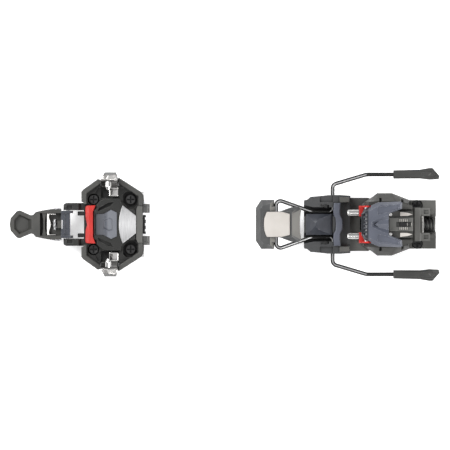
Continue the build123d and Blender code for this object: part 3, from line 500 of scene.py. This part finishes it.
# Edge rounding of the moulded and pressed nodes, and the voxel size of the forged ones.
EDGE = {
    "toe_cover": 0.35, "toe_base": 0.35, "badge_plate": 0.12, "rear_bridge": 0.4,
    "toe_trigger": 0.4, "red_slider": 0.5, "toe_slider": 0.3, "toe_screws": 0.25,
    "crampon_lugs": 0.35, "crampon_stop": 0.3, "lever_body": 0.5, "lever_fork": 0.4,
    "lever_side_plates": 0.15, "heel_base": 0.35, "heel_screws": 0.25, "brake_housing": 0.45,
    "housing_wedge": 0.3, "pivot_cover": 0.5, "heel_carriage": 0.45, "cap_wedges": 0.3,
    "pin_block": 0.5, "climbing_aid": 0.45, "walk_lever": 0.4, "walk_lever_strip": 0.3,
    "brake_pedal": 0.7, "pedal_pad": 0.7, "brake_grip_left": 0.9, "brake_grip_right": 0.9,
}
FORGED = {"toe_jaw_left": 0.45, "toe_jaw_right": 0.45, "lever_bracket": 0.30}


# ---------------------------------------------------------------- CAD nodes
def dress(obj, material):
    obj.data.materials.clear()
    obj.data.materials.append(material)


def soften(obj, width):
    """Round the edges of a hard mesh without changing the mesh itself."""
    weld = obj.modifiers.new("weld", "WELD")
    weld.merge_threshold = 0.002 * MM
    flat = obj.modifiers.new("flat", "DECIMATE")
    flat.decimate_type = "DISSOLVE"
    flat.angle_limit = math.radians(0.6)
    bevel = obj.modifiers.new("bevel", "BEVEL")
    bevel.width = width * MM
    bevel.segments = 2
    bevel.angle_limit = math.radians(24.0)
    bevel.miter_outer = "MITER_ARC"
    even = obj.modifiers.new("even", "WEIGHTED_NORMAL")
    even.keep_sharp = False
    even.weight = 80


def forge(obj, voxel):
    """Round a hard mesh all over, as a forged and plated part is."""
    grid = obj.modifiers.new("grid", "REMESH")
    grid.mode = "VOXEL"
    grid.voxel_size = voxel * MM
    grid.use_smooth_shade = True
    flow = obj.modifiers.new("flow", "SMOOTH")
    flow.factor = 0.5
    flow.iterations = 7


def dress_cad_nodes():
    for name, obj in NODES.items():
        dress(obj, MATERIALS[SPECIAL.get(name, SLOT_OF[name])])
        if name in EDGE:
            soften(obj, EDGE[name])
        elif name in FORGED:
            forge(obj, FORGED[name])


# ---------------------------------------------------------------- shapes of the pieces
def add_piece(name, bm, body, slot, material=None, width=0.0):
    """Turn a bmesh in millimetres into a piece that moves with a body."""
    bmesh.ops.scale(bm, vec=(MM, MM, MM), verts=bm.verts)
    bmesh.ops.recalc_face_normals(bm, faces=bm.faces)
    mesh = bpy.data.meshes.new(name)
    bm.to_mesh(mesh)
    bm.free()
    obj = bpy.data.objects.new(name, mesh)
    bpy.context.scene.collection.objects.link(obj)
    dress(obj, MATERIALS[material or slot])
    if width:
        soften(obj, width)
    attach(obj, body)
    return obj


def ring(bm, outline, z):
    """Points of an XY outline at a height."""
    return [bm.verts.new((x, y, z)) for x, y in outline]


def skin(bm, one, two):
    """Faces between two rings with the same number of points."""
    for i in range(len(one)):
        j = (i + 1) % len(one)
        bm.faces.new((one[i], one[j], two[j], two[i]))


def prism(bm, outline, low, high, shrink=0.0):
    """Raise a closed XY outline between two heights; shrink draws the top edge in."""
    middle = sum((Vector(point) for point in outline), Vector((0, 0))) / len(outline)
    drawn = []
    for point in outline:
        inward = middle - Vector(point)
        drawn.append(Vector(point) + inward.normalized() * min(shrink, inward.length))
    foot = ring(bm, outline, low)
    head = ring(bm, drawn, high)
    skin(bm, foot, head)
    bm.faces.new(foot[::-1])
    bm.faces.new(head)


def bar(bm, start, end, width, low, high, shrink=0.0):
    """A straight bar between two XY points."""
    a, b = Vector(start), Vector(end)
    side = (b - a).normalized().orthogonal() * width / 2
    prism(bm, [a - side, b - side, b + side, a + side], low, high, shrink)


def ribs(bm, start, end, count, length, width, low, high):
    """Short ribs set across a line, evenly spaced along it."""
    a, b = Vector(start), Vector(end)
    across = (b - a).normalized().orthogonal() * length / 2
    for k in range(count):
        at = a.lerp(b, (k + 0.5) / count)
        bar(bm, at - across, at + across, width, low, high, 0.12)


# ---------------------------------------------------------------- the length screw
def worm_ring(bm, x, radii):
    """A ring of points about the screw's axis."""
    points = []
    for i, radius in enumerate(radii):
        angle = 2 * math.pi * i / THREAD_POINTS
        y = radius * math.cos(angle)
        points.append(bm.verts.new((x, y, WORM_Z + radius * math.sin(angle))))
    return points


def thread_radius(x, share):
    """Radius of the thread at a place along it and a share of a turn round it."""
    turn = ((x - THREAD_FRONT) / THREAD_PITCH - share) % 1.0
    flank = min(1.0, max(0.0, (0.34 - abs(turn - 0.5)) / 0.13))
    fade = min(1.0, (x - THREAD_FRONT) / 2.0, (WORM_REAR - x) / 1.2 + 0.35)
    return THREAD_ROOT + (WORM_CREST - THREAD_ROOT) * flank * max(0.0, fade)


def driver_slot(bm, rim):
    """The end face inside a rim, with a slot across it."""
    outline = []
    for i in range(THREAD_POINTS):
        angle = 2 * math.pi * i / THREAD_POINTS
        y = DRIVER_SLOT["half_width"] * max(-1.0, min(1.0, 3.0 * math.cos(angle)))
        outline.append((y, WORM_Z + DRIVER_SLOT["half_length"] * math.sin(angle)))
    lips, bottom = ([bm.verts.new((x, y, z)) for y, z in outline]
                    for x in (WORM_REAR, WORM_REAR - DRIVER_SLOT["depth"]))
    skin(bm, rim, lips)
    skin(bm, lips, bottom)
    bm.faces.new(bottom[::-1])


def worm_thread():
    """The length screw with its collar, neck, helical thread and driver slot."""
    bm = bmesh.new()
    rings = []
    for x, radius in ((WORM_FRONT, COLLAR_RADIUS), (COLLAR_REAR, COLLAR_RADIUS),
                      (COLLAR_REAR, NECK_RADIUS), (THREAD_FRONT, NECK_RADIUS)):
        rings.append(worm_ring(bm, x, [radius] * THREAD_POINTS))
    steps = round((WORM_REAR - THREAD_FRONT) / THREAD_STEP)
    for k in range(steps + 1):
        x = min(THREAD_FRONT + k * THREAD_STEP, WORM_REAR)
        radii = [thread_radius(x, i / THREAD_POINTS) for i in range(THREAD_POINTS)]
        rings.append(worm_ring(bm, x, radii))
    for one, two in zip(rings, rings[1:]):
        skin(bm, one, two)
    bm.faces.new(rings[0])
    driver_slot(bm, rings[-1])
    piece = add_piece("worm_thread", bm, "worm", "black_steel", "worm_steel")
    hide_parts("worm_screw")


# ---------------------------------------------------------------- pieces of the heel unit
def pivot_bosses():
    """Black snap bosses on the brake housing, outside the wires' channels."""
    surface, points = top("brake_housing"), 20
    bm = bmesh.new()
    for side in SIDES:
        for x, y, radius, height in ((213.8, 18.3, 2.2, 1.0), (209.6, 18.9, 1.5, 0.6)):
            outline = []
            for k in range(points):
                angle = 2 * math.pi * k / points
                outline.append((x + radius * math.cos(angle),
                                side * (y + radius * math.sin(angle))))
            prism(bm, outline, surface - 1.0, surface + height, 0.6)
        bar(bm, (209.6, side * 18.7), (213.8, side * 18.3), 1.8, surface - 1.0, surface + 0.4, 0.3)
    add_piece("pivot_bosses", bm, "toe_and_heel_base", "black_plastic", width=0.2)


def housing_panels():
    """Raised panels, joint lines and dark slots at the rear of the brake housing."""
    surface = top("brake_housing")
    low, line_top = surface - 0.4, surface + 0.12
    panels, lines = bmesh.new(), bmesh.new()
    for side in SIDES:
        outline = [(227.6, side * 22.0), (237.6, side * 22.0), (237.6, side * 26.6),
                   (235.9, side * 27.3), (227.6, side * 27.3)]
        prism(panels, outline, low, surface + 0.5, 0.5)
        bar(lines, (226.5, side * 20.6), (226.5, side * 27.8), 0.6, low, line_top)
        bar(lines, (235.2, side * 20.3), (237.9, side * 20.3), 1.4, low, line_top)
    add_piece("housing_panels", panels, "toe_and_heel_base", "grey_plastic", width=0.15)
    add_piece("housing_lines", lines, "toe_and_heel_base", "black_plastic")


def release_scale():
    """Graduations beside the pointer, the index arrow behind it and the pointer's own line."""
    window, cap, pointer = 49.5, top("tower_cap"), top("release_indicator")
    bm = bmesh.new()
    for k in range(5):
        x = 286.5 + 1.8 * k
        for side in SIDES:
            bar(bm, (x, side * 2.7), (x, side * 5.3), 0.5, window, window + 0.22, 0.05)
    bar(bm, (297.6, -1.3), (298.1, 0.0), 0.45, cap - 0.05, cap + 0.12, 0.05)
    bar(bm, (298.1, 0.0), (297.6, 1.3), 0.45, cap - 0.05, cap + 0.12, 0.05)
    add_piece("release_scale", bm, "carriage", "pale_pad")
    bm = bmesh.new()
    bar(bm, (293.9, -1.4), (293.9, 1.4), 0.4, pointer - 0.1, pointer + 0.15, 0.05)
    add_piece("pointer_line", bm, "indicator", "pale_pad")


def grip_facets():
    """The raised facet and the painted highlight on the tail of each brake grip."""
    surface = top("brake_grip_left")
    facets, glints = bmesh.new(), bmesh.new()
    for side in SIDES:
        outline = [(308.5, side * 47.4), (321.0, side * 47.4), (324.4, side * 49.6),
                   (321.8, side * 52.8), (308.5, side * 52.8)]
        prism(facets, outline, surface - 2.2, surface + 0.35, 1.3)
        # A pale raised slash: painted highlight.
        start, end = (316.8, side * 49.0), (319.2, side * 51.0)
        bar(glints, start, end, 0.8, surface + 0.1, surface + 0.45, 0.1)
    add_piece("grip_facets", facets, "brake_arms", "dark_plastic", "grip_plastic", 0.15)
    add_piece("grip_painted_highlights", glints, "brake_arms", "grey_plastic")


# ---------------------------------------------------------------- pieces of the toe unit
def jaw_noses():
    """The faceted, ridged top of each forged jaw."""
    foot, eaves, ridge = 35.0, 37.6, 39.8
    for side, body in zip(SIDES, ("jaw_left", "jaw_right")):
        bm = bmesh.new()
        outline = [(-9.0, side * 44.0), (6.0, side * 44.0), (4.6, side * 49.6), (-5.6, side * 49.6)]
        low = ring(bm, outline, foot)
        high = ring(bm, outline, eaves)
        crest = ring(bm, [(-4.4, side * 44.8), (-2.6, side * 48.6)], ridge)
        bm.faces.new(low)
        skin(bm, low, high)
        bm.faces.new((high[0], high[1], crest[0]))
        bm.faces.new((high[1], high[2], crest[1], crest[0]))
        bm.faces.new((high[2], high[3], crest[1]))
        bm.faces.new((high[3], high[0], crest[0], crest[1]))
        add_piece(body + "_nose", bm, body, "chrome", "jaw_chrome", 0.25)


def lever_side_ribs():
    """Fine steel ribs along the top edge of the lever's side plates."""
    edge = top("lever_side_plates")
    bm = bmesh.new()
    for side in SIDES:
        start, end = (-73.0, side * 12.9), (-56.0, side * 16.0)
        ribs(bm, start, end, 11, 1.3, 0.6, edge - 0.6, edge + 0.45)
    add_piece("lever_side_ribs", bm, "toe_lever", "steel")


def toe_rim_ribs():
    """Step ribs moulded on the rear slopes of the toe cover's rim."""
    rim = top("toe_cover")
    x = BOX["toe_cover"][1][0] - 1.05
    bm = bmesh.new()
    for side in SIDES:
        ribs(bm, (x, side * 21.5), (x, side * 32.5), 9, 2.5, 0.7, rim - 7.0, rim + 0.15)
    add_piece("toe_rim_ribs", bm, "toe_and_heel_base", "dark_plastic", width=0.1)


# ---------------------------------------------------------------- stage
def floor():
    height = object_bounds()[0][2] - FLOOR_GAP
    bpy.ops.mesh.primitive_plane_add(size=FLOOR_SIZE, location=(MIDDLE[0], MIDDLE[1], height))
    plane = bpy.context.object
    plane.name = "studio_floor"
    s = Shader("studio_floor", 0.7)
    colour = s.mix(s.noise(3, 2), grey(0.93), grey(0.95))
    s.bsdf.inputs["Emission Color"].default_value = (1.0, 1.0, 1.0, 1.0)
    s.bsdf.inputs["Emission Strength"].default_value = FLOOR_GLOW
    dress(plane, s.finish(colour))


def area_light(name, place, size, power):
    """A rectangular light aimed at the middle of the object."""
    data = bpy.data.lights.new(name, "AREA")
    data.shape = "RECTANGLE"
    data.size, data.size_y = size
    data.energy = power
    obj = bpy.data.objects.new(name, data)
    bpy.context.scene.collection.objects.link(obj)
    obj.location = place
    obj.rotation_euler = (Vector(MIDDLE) - Vector(place)).to_track_quat("-Z", "Y").to_euler()


def studio_world():
    """A white room with a dark band above its bright horizon, for the metal to mirror."""
    world = bpy.data.worlds.new("studio")
    bpy.context.scene.world = world
    world.use_nodes = True
    tree = world.node_tree
    background = tree.nodes["Background"]
    place = tree.nodes.new("ShaderNodeTexCoord")
    parts = tree.nodes.new("ShaderNodeSeparateXYZ")
    tree.links.new(place.outputs["Generated"], parts.inputs["Vector"])
    ramp = tree.nodes.new("ShaderNodeValToRGB")
    stops = ((0.0, 0.9), (0.10, 0.9), (0.22, 0.08), (0.46, 0.12), (0.66, 0.55), (1.0, 0.55))
    while len(ramp.color_ramp.elements) < len(stops):
        ramp.color_ramp.elements.new(0.5)
    for element, (position, level) in zip(ramp.color_ramp.elements, stops):
        element.position = position
        element.color = (level, level, 1.02 * level, 1.0)
    tree.links.new(parts.outputs["Z"], ramp.inputs["Fac"])
    tree.links.new(ramp.outputs["Color"], background.inputs["Color"])
    background.inputs["Strength"].default_value = WORLD_STRENGTH


def lights():
    studio_world()
    area_light("key", (-0.95, 1.0, 1.5), (1.3, 1.3), 44)
    area_light("fill", (1.1, -0.95, 1.5), (1.3, 1.3), 30)
    area_light("front_strip", (-1.3, 0.0, 0.45), (0.3, 1.2), 5)
    area_light("rear_strip", (1.5, 0.0, 0.45), (0.3, 1.2), 5)


def camera():
    """A camera that looks straight down."""
    data = bpy.data.cameras.new("camera")
    data.lens = CAMERA_LENS
    data.sensor_width = CAMERA_SENSOR
    data.clip_end = 20.0
    obj = bpy.data.objects.new("camera", data)
    bpy.context.scene.collection.objects.link(obj)
    obj.location = CAMERA_PLACE
    bpy.context.scene.camera = obj


dress_cad_nodes()
worm_thread()
pivot_bosses()
jaw_noses()
grip_facets()
lever_side_ribs()
housing_panels()
release_scale()
toe_rim_ribs()
floor()
lights()
camera()
bpy.context.scene.view_settings.view_transform = "Standard"
